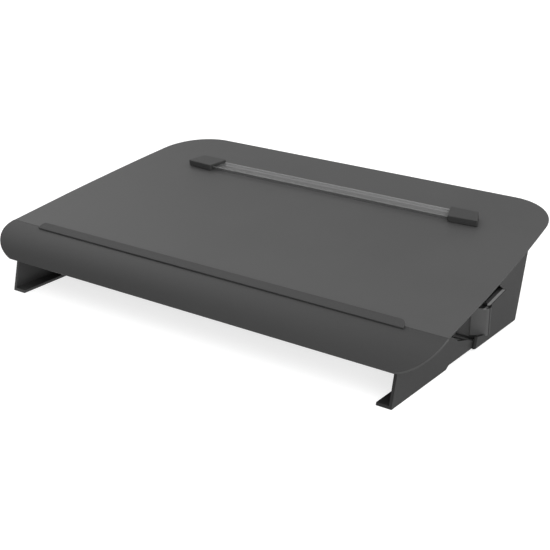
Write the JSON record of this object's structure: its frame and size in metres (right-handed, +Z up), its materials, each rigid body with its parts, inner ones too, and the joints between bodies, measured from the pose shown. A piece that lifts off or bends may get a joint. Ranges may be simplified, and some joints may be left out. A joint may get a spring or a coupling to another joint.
{
  "type": "document holder with drawer",
  "caption": "Low sloping desk stand that holds papers against a front ledge, with a sliding clear line guide and a drawer that pulls out to the right from under the board.",
  "frame": {"origin": "centre of the box around the object, on the desk under it", "axes": "+X to the right, the way the drawer opens; +Y to the back, up the slope; +Z up from the desk"},
  "size_m": [0.5178, 0.3114, 0.0993],
  "materials": {
    "board_steel": "fine textured powder coat, charcoal",
    "housing_plastic": "fine grained, matt black",
    "tray_plastic": "fine grained, matt black",
    "cap_plastic": "satin",
    "rail_steel": "satin black",
    "zinc_steel": "zinc plated",
    "foot_rubber": "soft, matt",
    "glide_plastic": "slippery, satin",
    "clear_plastic": "clear and polished",
    "magnet_nickel": "nickel plated",
    "felt": "pressed felt"
  },
  "bodies": {
    "stand": {"platform_board": "board_steel", "front_apron": "housing_plastic", "document_lip": "housing_plastic", "right_side_plate": "housing_plastic", "left_side_plate": "housing_plastic", "front_foot_pads": "foot_rubber", "rear_foot_pads": "foot_rubber", "front_cross_rail": "rail_steel", "rear_cross_rail": "rail_steel", "board_studs": "zinc_steel", "board_nuts": "zinc_steel", "rail_screws": "zinc_steel", "drawer_bay": "housing_plastic", "floor_screws": "zinc_steel", "drawer_bumpers": "foot_rubber", "stop_bar": "rail_steel"},
    "drawer": {"drawer_tray": "tray_plastic", "drawer_glides": "glide_plastic", "drawer_front": "housing_plastic", "drawer_front_screws": "zinc_steel"},
    "line_guide": {"guide_bar": "clear_plastic", "right_guide_cap": "cap_plastic", "left_guide_cap": "cap_plastic", "guide_magnets": "magnet_nickel", "guide_pads": "felt"}
  },
  "joints": [
    {"name": "drawer_slide", "type": "slide", "parent": "stand", "child": "drawer", "axis": [1, 0, 0], "range_m": [0, 0.26]},
    {"name": "line_guide_slide", "type": "slide", "parent": "stand", "child": "line_guide", "axis": [0, 0.9906, 0.1366], "range_m": [-0.188, 0.05]}
  ]
}
